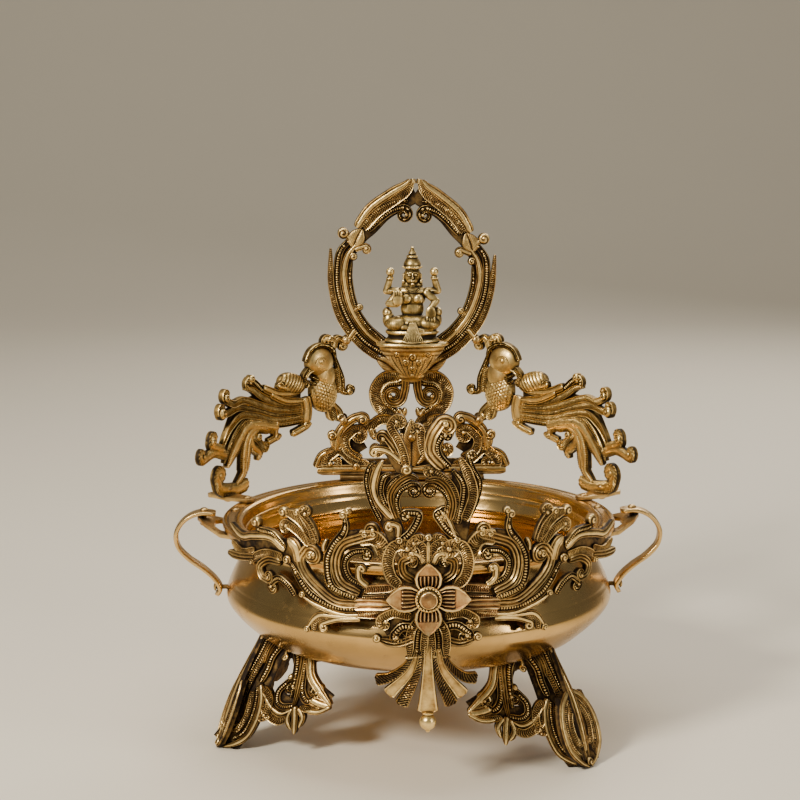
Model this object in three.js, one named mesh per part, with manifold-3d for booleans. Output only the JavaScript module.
// A brass urli: a wide shallow bowl on three openwork corner legs, with a flower and two scrolled
// wings bent round its front, and a back piece of arch, oval frame, seated figure and two peacocks.
// Millimetres, +Z up, front towards -Y. The bowl turns about the Z axis and its feet stand at Z = 0.
import * as THREE from 'three';
import { mergeVertices } from 'three/addons/utils/BufferGeometryUtils.js';
import Module from 'manifold-3d';

const wasm = await Module();
wasm.setup();

// Driving dimensions
const RIM_TOP = 168;
const RIM_RADIUS = 152;
const BOWL_SIDES = 40;
const FLOWER_HEIGHT = 147.3;
const WING_RADIUS = 156.5;
const PLATE_RADIUS = 162;
const CASTING = 4.5;
const BRACKET_BACK = 152.3;
const BRACKET_THICK = 2.5;
const PEACOCK_ARC = { x: 110, y: -103, radius: 307, start: 122.35, thick: 6.5 };
const ARCH_FRONT = 141.5;
const ARCH_THICK = 6;
const FRAME_FRONT = 147.9;
const FRAME_THICK = 5;
const RING_ROLL = 2.5;
const RING_CENTRE = 162;
const SEAT_TOP = 284.3;
const SEAT_THICK = 3;
const SEAT_DEPTH = 133.3;
const LEG_ANGLES = { right: 48.8, left: -71.2, back: 168.8 };
const LEG_SPLAY = 45;
const LEG_THICK = 5;
const LEG_BOLT_RADIUS = 88;
const PAD_THICK = 4;
const HANDLE_WIDTH = 15;
const HANDLE_THICK = 3.6;
const YOKE_THICK = 3;
const LUG_ANGLE = 112.5;
const LUG_TOP = 171.3;
const FIT = 0.3;
const EDGE = 0.9;
const PIN = 1.8;
const PIN_HEAD = 3.4;

const ANTIQUE = { color: 0x8a6a3a, roughness: 0.38, metalness: 0.95 };
const POLISHED = { color: 0xb08d4f, roughness: 0.26, metalness: 0.97 };
const BRIGHT = { color: 0xb89a55, roughness: 0.32, metalness: 0.95 };
const DARK = { color: 0x4a3b24, roughness: 0.55, metalness: 0.9 };

const object = new THREE.Group();
const radians = THREE.MathUtils.degToRad;

// ---- solids -------------------------------------------------------------------------------------

function solidOf(geometry) {
  const bare = geometry.clone();
  bare.deleteAttribute('normal');
  bare.deleteAttribute('uv');
  const merged = mergeVertices(bare, 1e-4);
  const vertProperties = new Float32Array(merged.attributes.position.array);
  const triVerts = new Uint32Array(merged.index.array);
  return new wasm.Manifold(new wasm.Mesh({ numProp: 3, vertProperties, triVerts }));
}

function geometryOf(solid) {
  const mesh = solid.getMesh();
  const geometry = new THREE.BufferGeometry();
  geometry.setAttribute('position', new THREE.BufferAttribute(mesh.vertProperties, 3));
  geometry.setIndex(new THREE.BufferAttribute(mesh.triVerts, 1));
  return geometry;
}

function joined(solids) {
  return solids.reduce((whole, solid) => whole.add(solid));
}

function moved(geometry, x, y, z) {
  return geometry.translate(x, y, z);
}

function addPart(name, solid, finish) {
  const geometry = geometryOf(solid);
  geometry.computeVertexNormals();
  const mesh = new THREE.Mesh(geometry, new THREE.MeshStandardMaterial(finish));
  mesh.name = name;
  object.add(mesh);
  return mesh;
}

// ---- flat castings: outlines in u (across), v (up), raised along w ------------------------------

function slab(outline, thick) {
  const shape = new THREE.Shape(outline.map(([u, v]) => new THREE.Vector2(u, v)));
  return solidOf(new THREE.ExtrudeGeometry(shape, { depth: thick, bevelEnabled: false, steps: 1 }));
}

// A band along a smooth line. widths are spread evenly along it.
function arm(points, widths, thick) {
  const line = new THREE.CatmullRomCurve3(points.map(([u, v]) => new THREE.Vector3(u, v, 0)));
  const steps = Math.max(2, Math.round(line.getLength() / 16));
  const left = [];
  const right = [];
  for (let i = 0; i <= steps; i++) {
    const at = line.getPointAt(i / steps);
    const way = line.getTangentAt(i / steps);
    const place = (i / steps) * (widths.length - 1);
    const k = Math.min(Math.floor(place), widths.length - 2);
    const half = THREE.MathUtils.lerp(widths[k], widths[k + 1], place - k) / 2;
    left.push([at.x - way.y * half, at.y + way.x * half]);
    right.unshift([at.x + way.y * half, at.y - way.x * half]);
  }
  return slab([...right, ...left], thick);
}

function disc([u, v], radius, thick) {
  const round = new THREE.CylinderGeometry(radius, radius, thick, 7);
  round.rotateX(Math.PI / 2);
  return solidOf(moved(round, u, v, thick / 2));
}

// A casting is a list of arms [points, widths], discs [centre, radius] and outlines.
function casting({ arms = [], discs = [], outlines = [] }, thick) {
  return joined([
    ...outlines.map((outline) => slab(outline, thick)),
    ...arms.map(([points, widths]) => arm(points, widths, thick)),
    ...discs.map(([centre, radius]) => disc(centre, radius, thick)),
  ]).simplify(EDGE);
}

const mirrorPoint = ([u, v]) => [-u, v];

function mirrored({ arms = [], discs = [] }) {
  return {
    arms: arms.map(([points, widths]) => [points.map(mirrorPoint), widths]),
    discs: discs.map(([centre, radius]) => [mirrorPoint(centre), radius]),
  };
}

// Lays a flat solid on a surface: place(u, v, w) gives the point in space.
function laid(solid, place) {
  const geometry = geometryOf(solid);
  const position = geometry.attributes.position;
  for (let i = 0; i < position.count; i++) {
    const [x, y, z] = place(position.getX(i), position.getY(i), position.getZ(i));
    position.setXYZ(i, x, y, z);
  }
  return solidOf(facingOut(geometry));
}

function facingOut(geometry) {
  const position = geometry.attributes.position;
  const index = geometry.index.array;
  const corner = (i) => new THREE.Vector3().fromBufferAttribute(position, index[i]);
  let volume = 0;
  for (let i = 0; i < index.length; i += 3) {
    volume += corner(i).dot(corner(i + 1).cross(corner(i + 2)));
  }
  if (volume > 0) return geometry;
  for (let i = 0; i < index.length; i += 3) {
    [index[i + 1], index[i + 2]] = [index[i + 2], index[i + 1]];
  }
  return geometry;
}

const onDrum = (radius, side) => (u, v, w) => [
  side * (radius + w) * Math.sin(u / radius),
  -(radius + w) * Math.cos(u / radius),
  FLOWER_HEIGHT + v,
];

const onBack = (front, thick) => (u, v, w) => [u, front + thick - w, RIM_TOP + v];

const onPeacockArc = (side) => (u, v, w) => {
  const angle = radians(PEACOCK_ARC.start) + u / PEACOCK_ARC.radius;
  const reach = PEACOCK_ARC.radius + w;
  const x = PEACOCK_ARC.x + reach * Math.cos(angle);
  return [-side * x, PEACOCK_ARC.y + reach * Math.sin(angle), RIM_TOP + v];
};

// ---- fasteners ----------------------------------------------------------------------------------

function alongAxis(geometry, from, to) {
  const way = new THREE.Vector3(...to).sub(new THREE.Vector3(...from)).normalize();
  const turn = new THREE.Quaternion().setFromUnitVectors(new THREE.Vector3(0, 1, 0), way);
  geometry.applyQuaternion(turn);
  return geometry.translate(...from);
}

function turned(profile, sides) {
  return new THREE.LatheGeometry(profile.map(([r, y]) => new THREE.Vector2(r, y)), sides);
}

// A profile of [radius, height] turned about the Z axis.
function upright(profile, sides) {
  return turned(profile, sides).rotateX(Math.PI / 2);
}

function spanOf(from, to) {
  return new THREE.Vector3(...from).distanceTo(new THREE.Vector3(...to));
}

// A pin with a head at each end, closed up on the pieces between from and to.
function rivet(from, to, radius = PIN, head = PIN_HEAD) {
  const span = spanOf(from, to);
  const rise = head * 0.5;
  const profile = [[0, -rise], [head * 0.75, -rise], [head, -FIT], [radius, -FIT], [radius, span + FIT],
    [head, span + FIT], [head * 0.75, span + rise], [0, span + rise]];
  return solidOf(alongAxis(turned(profile, 6), from, to));
}

function hole(from, to, radius) {
  const span = spanOf(from, to);
  const bore = new THREE.CylinderGeometry(radius, radius, span, 6).translate(0, span / 2, 0);
  return solidOf(alongAxis(bore, from, to));
}

// A six-sided hole is drawn wider, so that its flats clear a round pin.
const HEX_WIDENING = 1.16;

function drilled(solid, bores) {
  const cut = (whole, [from, to, radius]) => whole.subtract(hole(from, to, HEX_WIDENING * radius + FIT));
  return bores.reduce(cut, solid);
}

const atAngle = (radius, degrees, height) => [
  radius * Math.sin(radians(degrees)),
  -radius * Math.cos(radians(degrees)),
  height,
];

const lifted = ([x, y, z], rise) => [x, y, z + rise];

// ---- where the fasteners sit --------------------------------------------------------------------

const SIDES = { left: -1, right: 1 };
const YOKE_FRONT = 76;
const YOKE_BACK = 101;
const FLANGE_BOLT_RADIUS = 145.5;
const STRAP_FOOT = [151.8, 113];
const ARCH_BOLTS = [-30, 30];
const WING_SCREW = { u: 13.5, v: -7 };

const flangeBore = (degrees, radius = FLANGE_BOLT_RADIUS) => [
  atAngle(radius, degrees, RIM_TOP - 14),
  atAngle(radius, degrees, RIM_TOP + 8),
  PIN,
];

function bowlBores() {
  const bores = [];
  for (const side of Object.values(SIDES)) {
    bores.push(flangeBore(side * YOKE_FRONT), flangeBore(side * YOKE_BACK), flangeBore(side * LUG_ANGLE));
    bores.push([[side * 130, 0, STRAP_FOOT[1]], [side * 160, 0, STRAP_FOOT[1]], PIN]);
  }
  for (const x of ARCH_BOLTS) {
    bores.push([[x, 141.5, RIM_TOP - 14], [x, 141.5, RIM_TOP + 8], PIN]);
  }
  bores.push(flangeBore(0, 144));
  for (const angle of Object.values(LEG_ANGLES)) {
    bores.push([atAngle(LEG_BOLT_RADIUS, angle, 50), atAngle(LEG_BOLT_RADIUS, angle, 95), 3]);
  }
  return bores;
}

// ---- the bowl -----------------------------------------------------------------------------------

const OUTSIDE = [[0, 67], [60, 68], [95, 72], [120, 79.5], [134, 90], [144.5, 100], [149.5, 109],
  [147, 119], [141, 132], [133, 144], [131, 152], [136, 161], [139, 162.5], [151, 162.8], [152, 167]];
const INSIDE = [[151, RIM_TOP], [138, RIM_TOP], [133.5, 158], [127.5, 150], [128.5, 142],
  [136, 131.5], [142.5, 118], [144.5, 109], [130, 93], [117, 84], [94, 76.6], [60, 72.6], [0, 71.6]];

function bowl() {
  const wall = solidOf(upright([...OUTSIDE, ...INSIDE], BOWL_SIDES));
  addPart('bowl', drilled(wall, bowlBores()), POLISHED);
}

// The space under and inside the bowl's outer skin, grown by gap, up to the neck.
function bowlBody(gap) {
  const skin = OUTSIDE.slice(0, 9).map(([r, z], i) => [i === 0 ? 0 : r + gap * 0.45, z - gap]);
  return solidOf(upright([...skin, [141, 150], [0, 150]], BOWL_SIDES));
}

// ---- legs: two openwork flaps meeting at a corner that leans out to the foot --------------------

const FLAP = {
  outlines: [[[-3, 98], [15, 92], [13, 62], [17, 42], [12, 24], [8, 8], [8, 0], [-3, 0]]],
  arms: [
    [[[8, 88], [24, 78], [44, 64], [68, 46]], [16, 14, 12, 8]],
    [[[60, 51], [71, 44]], [9, 3]],
    [[[66, 47], [48, 34], [28, 32], [12, 38]], [7, 8, 8, 9]],
    [[[48, 36], [47, 25]], [8, 4]],
  ],
  discs: [[[30, 44], 8], [[46, 48], 7]],
};

const spineReach = (z) => 165 - 0.33 * z - 0.0008 * z * z;

// Both flaps stand at LEG_SPLAY to the line through the bowl's axis, open towards it.
const onFlap = (side) => (t, z, w) => {
  const splay = radians(LEG_SPLAY);
  const inward = spineReach(z) - t * Math.cos(splay) - w * Math.sin(splay);
  const across = side * (t * Math.sin(splay) - w * Math.cos(splay));
  return [across, -inward, z];
};

function legPad() {
  const skin = bowlBody(PAD_THICK + 0.6).subtract(bowlBody(0.6));
  const block = moved(new THREE.BoxGeometry(30, 46, 40), 0, -103, 80);
  return skin.intersect(solidOf(block));
}

function leg(name, degrees) {
  const flat = casting(FLAP, LEG_THICK);
  const open = joined([laid(flat, onFlap(1)), laid(flat, onFlap(-1)), legPad()]);
  const floor = solidOf(moved(new THREE.BoxGeometry(400, 400, 20), 0, 0, -10));
  const bore = [[0, -LEG_BOLT_RADIUS, 40], [0, -LEG_BOLT_RADIUS, 95], 3];
  const trimmed = drilled(open.subtract(bowlBody(0.6)).subtract(floor), [bore]);
  addPart(`leg_${name}`, trimmed, ANTIQUE).rotation.z = radians(degrees);
}

function legBolt(name, degrees) {
  const seat = 77.1;
  const profile = [[0, 60], [3, 60], [3, seat], [6, seat], [5, seat + 2.4], [0, seat + 3.4]];
  const bolt = upright(profile, 10);
  addPart(`leg_bolt_${name}`, solidOf(bolt.translate(...atAngle(LEG_BOLT_RADIUS, degrees, 0))), BRIGHT);
  const nut = [[3.9, 61], [7, 61], [7, 65.6], [3.9, 65.6], [3.9, 61]];
  const ring = upright(nut, 6);
  addPart(`leg_nut_${name}`, solidOf(ring.translate(...atAngle(LEG_BOLT_RADIUS, degrees, 0))), DARK);
}

// ---- handles: a bent strap over a V-shaped yoke -------------------------------------------------

const STRAP_LINE = [[157, 171.5], [168, 172.3], [177, 169.5], [184, 163.5], [188, 155], [186, 145],
  [178, 136], [167, 128], [158.5, 120], [154.3, 112.5], [157, 106.5]];
const STRAP_RIVET = 166;
const YOKE = { apex: 171, fold: 152.5, height: 159.3, slope: 0.4 };

function strapBores(side) {
  return [
    [[side * 130, 0, STRAP_FOOT[1]], [side * 170, 0, STRAP_FOOT[1]], PIN],
    [[side * STRAP_RIVET, 0, 150], [side * STRAP_RIVET, 0, 190], PIN],
  ];
}

function handleStrap(name, side) {
  const line = new THREE.CatmullRomCurve3(STRAP_LINE.map(([r, z]) => new THREE.Vector3(r, z, 0)));
  const steps = 18;
  const outer = [];
  const inner = [];
  for (let i = 0; i <= steps; i++) {
    const at = line.getPointAt(i / steps);
    const way = line.getTangentAt(i / steps);
    outer.push([at.x - way.y * HANDLE_THICK / 2, at.y + way.x * HANDLE_THICK / 2]);
    inner.unshift([at.x + way.y * HANDLE_THICK / 2, at.y - way.x * HANDLE_THICK / 2]);
  }
  const across = (r, z, w) => [side * r, w - HANDLE_WIDTH / 2, z];
  const strap = laid(slab([...inner, ...outer], HANDLE_WIDTH), across);
  addPart(`handle_strap_${name}`, drilled(strap, strapBores(side)), ANTIQUE);
  const foot = rivet([side * 142.4, 0, STRAP_FOOT[1]], [side * 157.9, 0, STRAP_FOOT[1]]);
  addPart(`handle_foot_rivet_${name}`, foot, BRIGHT);
}

const yokeHeight = (reach) => YOKE.height + YOKE.slope * Math.max(0, reach - YOKE.fold);

function handleYoke(name, side) {
  const front = atAngle(FLANGE_BOLT_RADIUS, YOKE_FRONT, 0);
  const back = atAngle(FLANGE_BOLT_RADIUS, YOKE_BACK, 0);
  const arms = [
    [[[front[0] - 3, front[1]], [158, -20], [YOKE.apex - 5, 0]], [10, 8, 11]],
    [[[back[0] - 3, back[1]], [157, 17], [YOKE.apex - 5, 0]], [10, 8, 11]],
  ];
  const flat = casting({ arms, discs: [[[YOKE.apex - 7, 0], 7]] }, YOKE_THICK);
  const folded = (u, v, w) => [side * u, v, yokeHeight(u) + w];
  const level = laid(flat.trimByPlane([-1, 0, 0], -YOKE.fold), folded);
  const yoke = level.add(laid(flat.trimByPlane([1, 0, 0], YOKE.fold), folded));
  const bores = [flangeBore(side * YOKE_FRONT), flangeBore(side * YOKE_BACK), strapBores(side)[1]];
  addPart(`handle_yoke_${name}`, drilled(yoke, bores), ANTIQUE);
  for (const [end, degrees] of [['front', YOKE_FRONT], ['back', YOKE_BACK]]) {
    const foot = atAngle(FLANGE_BOLT_RADIUS, side * degrees, YOKE.height);
    addPart(`yoke_rivet_${end}_${name}`, rivet(foot, lifted(foot, RIM_TOP - YOKE.height)), BRIGHT);
  }
  const low = yokeHeight(STRAP_RIVET) - 1.4;
  const pin = rivet([side * STRAP_RIVET, 0, low], [side * STRAP_RIVET, 0, 174.5]);
  addPart(`strap_rivet_${name}`, pin, BRIGHT);
}

// ---- peacocks on their rim lugs -----------------------------------------------------------------

const PEACOCK = {
  outlines: [[[41, 100], [35, 109], [22, 112], [12, 106], [7, 87], [7, 70], [13, 60], [29, 57],
    [47, 53], [72, 57], [84, 66], [86, 82], [67, 84], [59, 92], [49, 94], [41, 92]]],
  arms: [
    [[[46, 64], [68, 66], [92, 68], [114, 64], [126, 50], [136, 36], [139, 16]],
      [20, 22, 20, 18, 17, 15, 10]],
    [[[60, 70], [84, 80], [98, 90]], [12, 10, 6]],
    [[[90, 72], [112, 76], [133, 81]], [8, 7, 6]],
    [[[100, 70], [136, 69]], [9, 7]],
    [[[84, 60], [100, 57], [109, 50], [112, 34], [113, 20], [118, 12]], [9, 9, 8, 7, 7, 8]],
    [[[112, 12], [126, 11], [145, 13]], [8, 9, 10]],
    [[[134, 34], [150, 40], [170, 38]], [13, 11, 6]],
    [[[103, 58], [99, 42], [95, 28]], [9, 8, 5]],
    [[[72, 58], [73, 42]], [6, 5]],
    [[[83, 40], [67, 42]], [4, 5]],
    [[[40, 66], [40, 48]], [12, 9]],
    [[[54, 42], [33, 48]], [4, 8]],
    [[[16, 63], [10, 50]], [9, 8]],
    [[[15, 105], [9, 112], [2, 115]], [6, 6, 6]],
    [[[13, 106], [5, 92], [1, 76], [-5, 69]], [5, 5, 5, 4]],
  ],
  discs: [[[99, 93], 4.5], [[133, 82], 4.5], [[139, 68], 6], [[152, 48], 6], [[94, 45], 4], [[5, 49], 5],
    [[14, 115], 4.5], [[0, 115], 4.8], [[-6, 72], 4.2]],
};
const CREST_PIN = { x: 53.8, v: 115 };
const FOOT_PIN = { x: 56.6, v: 48.5 };
const TAIL_PIN = { u: 132, v: 11 };

function peacockHead() {
  const head = new THREE.SphereGeometry(1, 8, 6).scale(13, 13, 8.5);
  const breast = new THREE.SphereGeometry(1, 8, 6).scale(12, 15, 7.5);
  const wing = new THREE.SphereGeometry(1, 8, 5).scale(14, 9, 7);
  const deep = PEACOCK_ARC.thick / 2;
  return joined([solidOf(moved(head, 25, 97, deep)), solidOf(moved(breast, 20, 74, deep)),
    solidOf(moved(wing, 53, 84, deep))]);
}

function peacockBores(side) {
  const [tailX, tailY] = onPeacockArc(side)(TAIL_PIN.u, 0, PEACOCK_ARC.thick / 2);
  return [
    [[side * CREST_PIN.x, 130, RIM_TOP + CREST_PIN.v],
      [side * CREST_PIN.x, 180, RIM_TOP + CREST_PIN.v], PIN],
    [[side * FOOT_PIN.x, 130, RIM_TOP + FOOT_PIN.v], [side * FOOT_PIN.x, 180, RIM_TOP + FOOT_PIN.v], PIN],
    [[tailX, tailY, LUG_TOP - 20], [tailX, tailY, RIM_TOP + TAIL_PIN.v + 2], PIN],
  ];
}

function peacock(name, side) {
  const flat = casting(PEACOCK, PEACOCK_ARC.thick).add(peacockHead());
  const bent = laid(flat, onPeacockArc(side));
  addPart(`peacock_${name}`, drilled(bent, peacockBores(side)), ANTIQUE);
  const [crest, foot, tail] = peacockBores(side);
  const crestFrom = [crest[0][0], FRAME_FRONT, crest[0][2]];
  const crestTo = [crest[0][0], 163.9, crest[0][2]];
  addPart(`crest_rivet_${name}`, rivet(crestFrom, crestTo), BRIGHT);
  const footFrom = [foot[0][0], ARCH_FRONT, foot[0][2]];
  addPart(`peacock_foot_bolt_${name}`, rivet(footFrom, [foot[0][0], 162.3, foot[0][2]]), BRIGHT);
  const [x, y] = tail[0];
  const low = [x, y, LUG_TOP - 3 - FIT];
  const profile = [[0, -2.4], [3.6, -2.4], [3.6, -FIT], [PIN, -FIT], [PIN, 10], [0, 10]];
  addPart(`peacock_tail_bolt_${name}`, solidOf(alongAxis(turned(profile, 8), low, lifted(low, 1))), BRIGHT);
}

function rimLug(name, side) {
  const [x, y] = peacockBores(side)[2][0];
  const [rootX, rootY] = atAngle(FLANGE_BOLT_RADIUS, side * LUG_ANGLE, 0);
  const out = [x + (x - rootX) * 0.75, y + (y - rootY) * 0.75];
  const arms = [[[[rootX, rootY], [x, y], out], [13, 15, 8]]];
  const discs = [[[rootX, rootY], 6.5], [out, 5]];
  const plate = casting({ arms, discs }, LUG_TOP - RIM_TOP - FIT);
  const lug = laid(plate, (u, v, w) => [u, v, RIM_TOP + FIT + w]);
  const bores = [flangeBore(side * LUG_ANGLE), peacockBores(side)[2],
    [[...out, RIM_TOP - 5], [...out, RIM_TOP + 9], 2]];
  addPart(`rim_lug_${name}`, drilled(lug, bores), ANTIQUE);
  const foot = atAngle(FLANGE_BOLT_RADIUS, side * LUG_ANGLE, 162.2);
  addPart(`lug_rivet_${name}`, rivet(foot, lifted(foot, LUG_TOP - 162.2)), BRIGHT);
}

// ---- the arch on the back rim -------------------------------------------------------------------

const ARCH_HALF = {
  arms: [
    [[[-66, 10], [2, 10]], [8, 8]],
    [[[-79, 8], [-75, 17], [-62, 22]], [6, 7, 7]],
    [[[-36, 10], [-50, 16], [-60, 24]], [9, 9, 9]],
    [[[-58, 22], [-66, 36]], [11, 8]],
    [[[-60, 24], [-60, 38], [-52, 48], [-42, 51]], [8, 7, 7, 6]],
    [[[-42, 46], [-30, 45], [-14, 49], [2, 48]], [7, 8, 9, 9]],
    [[[-12, 46], [-18, 34], [-26, 22], [-34, 12]], [9, 8, 8, 9]],
    [[[-30, 45], [-31, 34]], [6, 4]],
    [[[-42, 14], [-52, 26]], [9, 8]],
  ],
  discs: [[[-62, 18], 9], [[-48, 33], 9], [[-41, 48], 4.6], [[-56.6, 48.5], 5.4]],
};
const ARCH_MIDDLE = { arms: [[[[0, 8], [0, 46]], [12, 14]]], discs: [[[0, 35], 10]] };
const ARCH_FOOT_BOLTS = [-46, 46];
const STEM_BOLT = 34;

const crossBore = (x, v, radius = PIN) => [[x, 120, RIM_TOP + v], [x, 175, RIM_TOP + v], radius];

function arch() {
  const parts = [ARCH_HALF, mirrored(ARCH_HALF), ARCH_MIDDLE].map((half) => casting(half, ARCH_THICK));
  const bores = [crossBore(-FOOT_PIN.x, FOOT_PIN.v), crossBore(FOOT_PIN.x, FOOT_PIN.v),
    crossBore(0, STEM_BOLT), ...ARCH_FOOT_BOLTS.map((x) => crossBore(x, 10))];
  const standing = laid(joined(parts), onBack(ARCH_FRONT, ARCH_THICK));
  addPart('back_arch', drilled(standing, bores), ANTIQUE);
}

// An angle bar: its flat leg lies on the rim and its upright leg backs the arch.
function archBase() {
  const back = ARCH_FRONT + ARCH_THICK + FIT;
  const low = RIM_TOP + FIT;
  const section = [[133, low], [back + 3, low], [back + 3, low + 15], [back, low + 15], [back, low + 3],
    [133, low + 3]];
  const bar = laid(slab(section, 120), (u, v, w) => [w - 60, u, v]);
  const bores = ARCH_FOOT_BOLTS.map((x) => crossBore(x, 10));
  for (const x of ARCH_BOLTS) {
    bores.push([[x, 141.5, RIM_TOP - 14], [x, 141.5, RIM_TOP + 8], PIN]);
  }
  addPart('arch_base', drilled(bar, bores), DARK);
}

function archBolts() {
  ARCH_BOLTS.forEach((x, i) => {
    const pin = rivet([x, 141.5, 162.2], [x, 141.5, RIM_TOP + 3.3], PIN, 3.2);
    addPart(`arch_base_bolt_${i + 1}`, pin, BRIGHT);
  });
  ARCH_FOOT_BOLTS.forEach((x, i) => {
    const pin = rivet([x, ARCH_FRONT, RIM_TOP + 10], [x, 150.8, RIM_TOP + 10], PIN, 3);
    addPart(`arch_bolt_${i + 1}`, pin, BRIGHT);
  });
  const stemZ = RIM_TOP + STEM_BOLT;
  const stem = rivet([0, ARCH_FRONT, stemZ], [0, FRAME_FRONT + FRAME_THICK, stemZ]);
  addPart('stem_bolt', stem, BRIGHT);
}

// ---- the oval frame, its scrolled stem and its console ------------------------------------------

const RING_HALF = {
  arms: [
    [[[-18, 106], [-40, 122], [-56, 148], [-60, 172], [-55, 192], [-44, 205]], [14, 16, 15, 14, 13, 12]],
    [[[-58, 136], [-66, 160], [-68, 188]], [6, 5, 5]],
    [[[-46, 203], [-32, 219], [-15, 231], [-7, 246]], [13, 12, 11, 5]],
    [[[-50, 197], [-57, 202]], [6, 6]],
    [[[-22, 111], [-39, 130], [-48, 146], [-52, 163], [-50, 181]], [5, 5, 5, 5, 4]],
    [[[-54, 192], [-40, 190]], [6, 5]],
    [[[-20, 222], [0, 224]], [8, 8]],
  ],
  discs: [[[-9, 219], 7], [[-57, 202], 5.2], [[-40, 190], 4], [[-49, 182], 3.6], [[-42, 141], 3.2]],
};
const RING_TIP = { arms: [[[[0, 220], [0, 249]], [8, 5]]] };
const STEM_HALF = {
  arms: [
    [[[-8, 80], [-24, 79], [-31, 68], [-28, 56], [-15, 50], [-6, 41], [0, 34]], [8, 8, 7, 7, 7, 8, 9]],
    [[[-10, 79], [-9, 68], [-6, 60]], [7, 4, 4]],
    [[[-47, 124], [-53.8, 115]], [8, 7]],
  ],
  discs: [[[-17, 66], 7.6], [[-53.8, 115], 5]],
};
const CONSOLE = { outlines: [[[-22, 113], [-29, 98], [-17, 88], [-15, 77], [15, 77], [17, 88], [29, 98],
  [22, 113]]], discs: [[[0, STEM_BOLT], 8]] };
const CUP = [[0, 250], [9, 250], [12, 258], [20, 270], [26, 277], [27, 281], [0, 281]];

function rolled(solid) {
  const turn = radians(-RING_ROLL);
  const swing = (u, v, w) => {
    const rise = v - RING_CENTRE;
    const across = u * Math.cos(turn) - rise * Math.sin(turn);
    return [across, RING_CENTRE + u * Math.sin(turn) + rise * Math.cos(turn), w];
  };
  return laid(solid, swing);
}

function frame() {
  const ring = [RING_HALF, mirrored(RING_HALF), RING_TIP].map((half) => casting(half, FRAME_THICK));
  const stem = [STEM_HALF, mirrored(STEM_HALF), CONSOLE].map((half) => casting(half, FRAME_THICK));
  const flat = joined([rolled(joined(ring)), ...stem]);
  const standing = laid(flat, onBack(FRAME_FRONT, FRAME_THICK));
  const cup = upright(CUP, 16).scale(1, 0.46, 1);
  const whole = standing.add(solidOf(moved(cup, 0, 138, 0)));
  const bores = [crossBore(-CREST_PIN.x, CREST_PIN.v), crossBore(CREST_PIN.x, CREST_PIN.v),
    crossBore(0, STEM_BOLT), [[0, SEAT_DEPTH, 266], [0, SEAT_DEPTH, 300], 1.6],
    [[0, SEAT_DEPTH, 230], [0, SEAT_DEPTH, 266], 4.2]];
  addPart('oval_frame', drilled(whole, bores), ANTIQUE);
}

function seatPlate() {
  const oval = new THREE.CylinderGeometry(30, 30, SEAT_THICK, 24).rotateX(Math.PI / 2).scale(1, 0.47, 1);
  const plate = solidOf(moved(oval, 0, SEAT_DEPTH, SEAT_TOP - SEAT_THICK / 2));
  addPart('seat_plate', drilled(plate, [[[0, SEAT_DEPTH, 270], [0, SEAT_DEPTH, 300], 1.6]]), ANTIQUE);
  const profile = [[0, 262.5], [3.8, 262.5], [3.8, 265.5], [1.6, 265.5], [1.6, 289], [0, 289]];
  const screw = upright(profile, 10);
  addPart('seat_screw', solidOf(moved(screw, 0, SEAT_DEPTH, 0)), BRIGHT);
}

// ---- the seated figure --------------------------------------------------------------------------

const blob = (size, place, around = 9, up = 6) => solidOf(
  moved(new THREE.SphereGeometry(1, around, up).rotateX(Math.PI / 2).scale(...size), ...place),
);

function limb(from, to, radius) {
  const span = spanOf(from, to);
  const profile = [[0, -radius * 0.7], [radius, 0], [radius, span], [0, span + radius * 0.7]];
  return solidOf(alongAxis(turned(profile, 6), from, to));
}

function figure() {
  const low = SEAT_TOP + FIT;
  const base = [[0, low], [21.5, low], [21.5, 287.5], [19, 290], [20.5, 293], [0, 294]];
  const crown = [
    [0, 340], [7.2, 341], [7.4, 347], [5.4, 351],
    [4.4, 355], [2.2, 358], [1.4, 361], [0, 363.5],
  ];
  const solids = [
    solidOf(upright(base, 20).scale(1, 0.62, 1)),
    solidOf(upright(crown, 10)),
    blob([20.5, 12, 7.5], [0, -1, 299]),
    blob([11, 7, 15], [0, 1, 317]),
    blob([13.5, 6, 5], [0, 1, 327]),
    blob([6.7, 7, 8.6], [0, 0, 340]),
    blob([8, 4, 7.5], [0, -9.5, 294]),
    blob([4, 2.4, 7], [-11, -10, 321]),
    blob([4, 2.4, 7], [14.5, -10, 309.5]),
  ];
  for (const side of Object.values(SIDES)) {
    solids.push(limb([side * 11, 2, 326], [side * 19.5, 3, 322], 3));
    solids.push(limb([side * 19.5, 3, 322], [side * 16.5, 1, 338], 2.6));
    solids.push(blob([3.4, 3.2, 4.4], [side * 16.5, 1, 342.5], 7, 5));
  }
  solids.push(limb([-12, 0, 325], [-15, -5, 314], 3), limb([-15, -5, 314], [-11, -9, 320], 2.8));
  solids.push(limb([12, 0, 325], [16, -4, 313], 3), limb([16, -4, 313], [15, -9, 309], 2.8));
  const peg = [[[0, 0, 280], [0, 0, 291], 1.6]];
  addPart('seated_figure', drilled(joined(solids), peg), BRIGHT).position.y = SEAT_DEPTH;
}

// ---- the front: centre plate, wings and flower --------------------------------------------------

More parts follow.
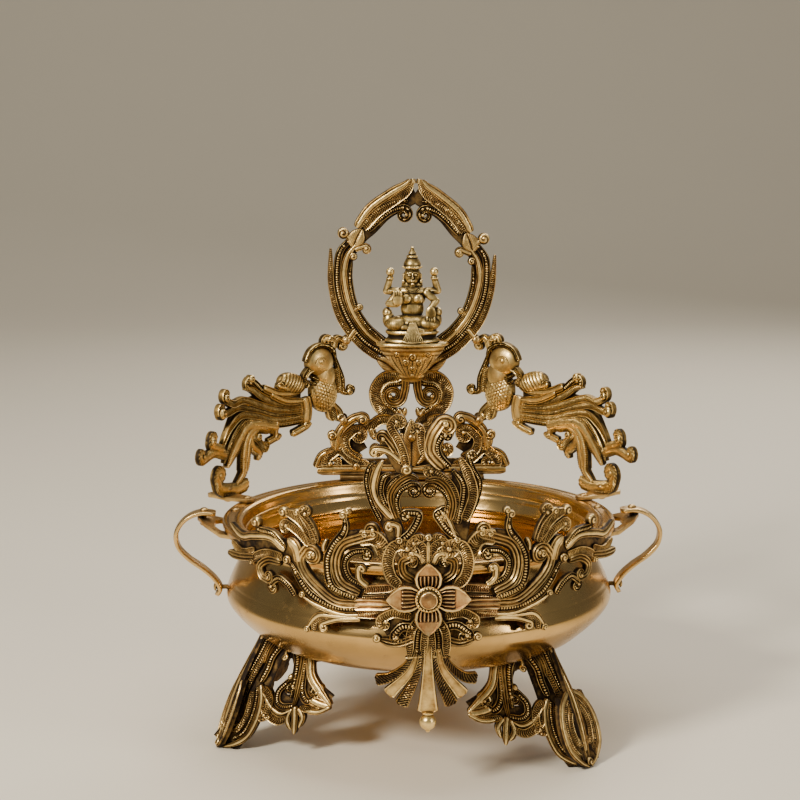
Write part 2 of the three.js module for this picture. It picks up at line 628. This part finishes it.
const HUB = [[-24, -4], [-20, 22], [-29, 30], [-24, 42], [0, 36], [24, 42], [30, 30], [20, 22], [24, -4],
  [11, -27], [15, -46], [-15, -46], [-11, -27]];
const PLATE = {
  outlines: [HUB],
  arms: [
    [[[-19, 40], [-28, 56], [-34, 75], [-36, 97]], [10, 18, 20, 10]],
    [[[-28, 70], [-25, 82], [-12, 86]], [9, 10, 6]],
    [[[20, 40], [25, 56], [30, 76], [25, 99]], [10, 18, 20, 14]],
    [[[22, 68], [17, 82], [2, 87]], [9, 10, 6]],
    [[[-22, 88], [-19, 104], [-25, 122]], [11, 10, 8]],
    [[[-20, 98], [-33, 109]], [11, 8]],
    [[[20, 86], [6, 102], [4, 112], [8, 122]], [12, 13, 12, 10]],
    [[[4, 100], [-3, 108], [-5, 120]], [7, 6, 6]],
    [[[-20, 38], [-10, 52], [-10, 61]], [8, 6, 6]],
    [[[20, 40], [10, 52], [9, 62]], [8, 6, 6]],
    [[[-10, -14], [-24, -17], [-33, -26]], [12, 10, 8]],
    [[[10, -14], [24, -17], [32, -24]], [12, 10, 8]],
    [[[0, -40], [0, -84]], [12, 8]],
  ],
  discs: [[[-12, 79], 5.5], [[5, 79], 5.5], [[-24, 122], 5.5], [[8, 121], 7.5], [[-33, -30], 4.5],
    [[-24, -26], 5.5], [[32, -27], 4.5], [[24, -26], 5.5], [[-34, 107], 4.5]],
};
const VANES = [
  [[9, -42], [19, -53], [34, -61]],
  [[7, -42], [15, -58], [27, -71]],
  [[4, -42], [9, -60], [19, -79]],
];

function centrePlate() {
  const arms = [...PLATE.arms];
  for (const vane of VANES) {
    arms.push([vane, [7, 6, 7]], [vane.map(mirrorPoint), [7, 6, 7]]);
  }
  const plate = laid(casting({ ...PLATE, arms }, CASTING), onDrum(PLATE_RADIUS, 1));
  const middle = [[0, -190, FLOWER_HEIGHT], [0, -140, FLOWER_HEIGHT], 3.2];
  const bores = [middle, ...wingScrewBores(), finialBore()];
  addPart('centre_plate', drilled(plate, bores), ANTIQUE);
}

function wingScrewBores() {
  return Object.values(SIDES).map((side) => {
    const z = FLOWER_HEIGHT + WING_SCREW.v;
    return [[side * WING_SCREW.u, -180, z], [side * WING_SCREW.u, -140, z], PIN];
  });
}

function finialBore() {
  const y = -(PLATE_RADIUS + CASTING / 2);
  return [[0, y, FLOWER_HEIGHT - 90], [0, y, FLOWER_HEIGHT - 74], 1.1];
}

const WING = {
  arms: [
    [[[9, -7], [30, -8], [52, -10]], [13, 14, 12]],
    [[[46, -10], [66, -12], [83, -2], [94, 12], [96, 26]], [13, 14, 15, 15, 14]],
    [[[88, 24], [93, 40], [104, 51]], [18, 18, 11]],
    [[[102, 24], [120, 34], [137, 38]], [8, 7, 6]],
    [[[98, 22], [122, 29], [150, 27], [173, 33]], [12, 10, 8, 4]],
    [[[106, 18], [140, 18], [172, 20]], [12, 10, 5]],
    [[[112, 15], [140, 12], [177, 10]], [9, 8, 5]],
    [[[102, 18], [125, 16], [133, 8], [127, 1]], [9, 9, 8, 6]],
    [[[112, 18], [143, 10]], [9, 6]],
    [[[85, -5], [99, -6], [109, 1], [119, 2]], [7, 6, 6, 5]],
    [[[44, -17], [68, -18], [81, -21], [88, -31]], [7, 7, 8, 5]],
    [[[46, -4], [62, 4], [69, 20], [62, 36], [48, 41], [36, 41]], [12, 13, 13, 13, 10, 9]],
    [[[66, 32], [59, 46], [59, 56]], [9, 7, 7]],
    [[[40, 41], [34, 36], [32, 26]], [9, 10, 7]],
    [[[60, 14], [54, 28], [44, 31]], [6, 6, 5]],
    [[[44, 0], [49, 10], [49, 17]], [8, 6, 5]],
    [[[50, 4], [24, 6]], [9, 6]],
    [[[74, 18], [75, 36]], [8, 4]],
  ],
  discs: [[[86, 24], 8.5], [[109, 51], 5.2], [[97, 53], 5.5], [[139, 41], 5.2], [[118, -3], 4.5],
    [[77, -27], 4.5], [[59, 57], 5.4], [[40, 46], 4.4], [[103, 43], 4.5]],
};
const WING_STAY = { u: 100, v: 17 };

function wing(name, side) {
  const bent = laid(casting(WING, CASTING), onDrum(WING_RADIUS, side));
  addPart(`wing_${name}`, drilled(bent, wingScrewBores()), ANTIQUE);
  const z = FLOWER_HEIGHT + WING_SCREW.v;
  const x = side * WING_SCREW.u;
  const pin = rivet([x, -166.2, z], [x, 0.3 - BRACKET_BACK, z], PIN, 3);
  addPart(`wing_screw_${name}`, pin, BRIGHT);
}

// A short distance piece between the rim's edge and the back of the wing.
function wingStay(name, side) {
  const angle = side * THREE.MathUtils.radToDeg(WING_STAY.u / WING_RADIUS);
  const z = FLOWER_HEIGHT + WING_STAY.v;
  const from = atAngle(RIM_RADIUS + FIT, angle, z);
  const to = atAngle(WING_RADIUS - FIT - 0.1, angle, z);
  const span = spanOf(from, to);
  const stub = turned([[0, 0], [4.4, 0], [3.4, span / 2], [4.4, span], [0, span]], 10);
  addPart(`wing_stay_${name}`, solidOf(alongAxis(stub, from, to)), DARK);
}

// An angle bracket: riveted under the rim, its upright leg takes the flower and wing screws.
function frontBracket() {
  const top = 161.9;
  const outer = BRACKET_BACK + BRACKET_THICK;
  const section = [
    [138, top - 3], [outer - 3, top - 3], [outer - 3, 132],
    [outer, 132], [outer, top], [138, top],
  ];
  const width = 34;
  const bar = laid(slab(section, width), (u, v, w) => [w - width / 2, -u, v]);
  const bores = [[[0, -190, FLOWER_HEIGHT], [0, -140, FLOWER_HEIGHT], 3.2], ...wingScrewBores(),
    flangeBore(0, 144)];
  addPart('front_bracket', drilled(bar, bores), DARK);
  const foot = atAngle(144, 0, top - 3);
  addPart('bracket_rivet', rivet(foot, lifted(foot, RIM_TOP - top + 3)), BRIGHT);
}

const PETAL_FRONT = 167;
const PETAL_CUP = 0.0036;
const PETAL_THICK = 2.6;

function petalOutline(reach, half) {
  const shape = new THREE.Shape();
  shape.moveTo(0, 0);
  shape.quadraticCurveTo(half * 1.5, reach * 0.45, half * 0.72, reach * 0.7);
  shape.quadraticCurveTo(half * 0.4, reach * 0.88, 0, reach);
  shape.quadraticCurveTo(-half * 0.4, reach * 0.88, -half * 0.72, reach * 0.7);
  shape.quadraticCurveTo(-half * 1.5, reach * 0.45, 0, 0);
  return shape.getPoints(3).slice(0, -1).map((p) => [p.x, p.y]);
}

function flower() {
  const petals = [30, 26.5, 30, 26.5].map((reach, i) => {
    const turn = radians(90 * i + 90);
    const outline = petalOutline(reach, 11).map(([u, v]) => [
      u * Math.cos(turn) - v * Math.sin(turn), u * Math.sin(turn) + v * Math.cos(turn)]);
    return slab(outline, PETAL_THICK);
  });
  const flat = joined([...petals, disc([0, 0], 12, PETAL_THICK)]);
  const depth = (u, v, w) => PETAL_FRONT + w + PETAL_CUP * (u * u + v * v);
  const cupped = laid(flat, (u, v, w) => [u, -depth(u, v, w), FLOWER_HEIGHT + v]);
  const bore = [[0, -190, FLOWER_HEIGHT], [0, -140, FLOWER_HEIGHT], 3.2];
  addPart('flower_petals', drilled(cupped, [bore]), BRIGHT);
}

function flowerScrew() {
  const front = PETAL_FRONT + PETAL_THICK + 1.3;
  const centre = (distance) => [0, -distance, FLOWER_HEIGHT];
  const ring = turned([[4, 0], [9.6, 0], [9.6, 2], [8.2, 3.2], [4, 3], [4, 0]], 16);
  addPart('flower_collar', solidOf(alongAxis(ring, centre(front), centre(front + 1))), BRIGHT);
  const head = front + 3.4;
  const length = head - 146;
  const profile = [[0, -length], [3.2, -length], [3.2, 0], [6.6, 0], [6.4, 3], [4.6, 4.6], [0, 5]];
  addPart('flower_screw', solidOf(alongAxis(turned(profile, 14), centre(head), centre(head + 1))), BRIGHT);
  const nut = turned([[4, 0], [7, 0], [7, 3.6], [4, 3.6], [4, 0]], 6);
  addPart('flower_nut', solidOf(alongAxis(nut, centre(148.2), centre(149))), DARK);
}

function ballFinial() {
  const [, , low] = finialBore()[0];
  const top = FLOWER_HEIGHT - 84.4;
  const y = finialBore()[0][1];
  const profile = [[0, top - 15.5], [1.6, top - 15], [2, top - 13], [5.4, top - 10.5], [6.2, top - 7.5],
    [5.2, top - 4.4], [3, top - 2.8], [4.2, top - 1.6], [3.6, top],
    [1.1, top], [1.1, low + 14], [0, low + 14]];
  const ball = upright(profile, 14);
  addPart('ball_finial', solidOf(moved(ball, 0, y, 0)), BRIGHT);
}

// ---- the whole ----------------------------------------------------------------------------------

bowl();
for (const [name, degrees] of Object.entries(LEG_ANGLES)) {
  leg(name, degrees);
  legBolt(name, degrees);
}
for (const [name, side] of Object.entries(SIDES)) {
  handleStrap(name, side);
  handleYoke(name, side);
  peacock(name, side);
  rimLug(name, side);
  wing(name, side);
  wingStay(name, side);
}
archBase();
arch();
archBolts();
frame();
seatPlate();
figure();
frontBracket();
centrePlate();
flower();
flowerScrew();
ballFinial();

const box = new THREE.Box3().setFromObject(object, true);
const middle = box.getCenter(new THREE.Vector3());
object.position.set(-middle.x, -middle.y, -box.min.z);
object.updateMatrixWorld(true);

export default object;
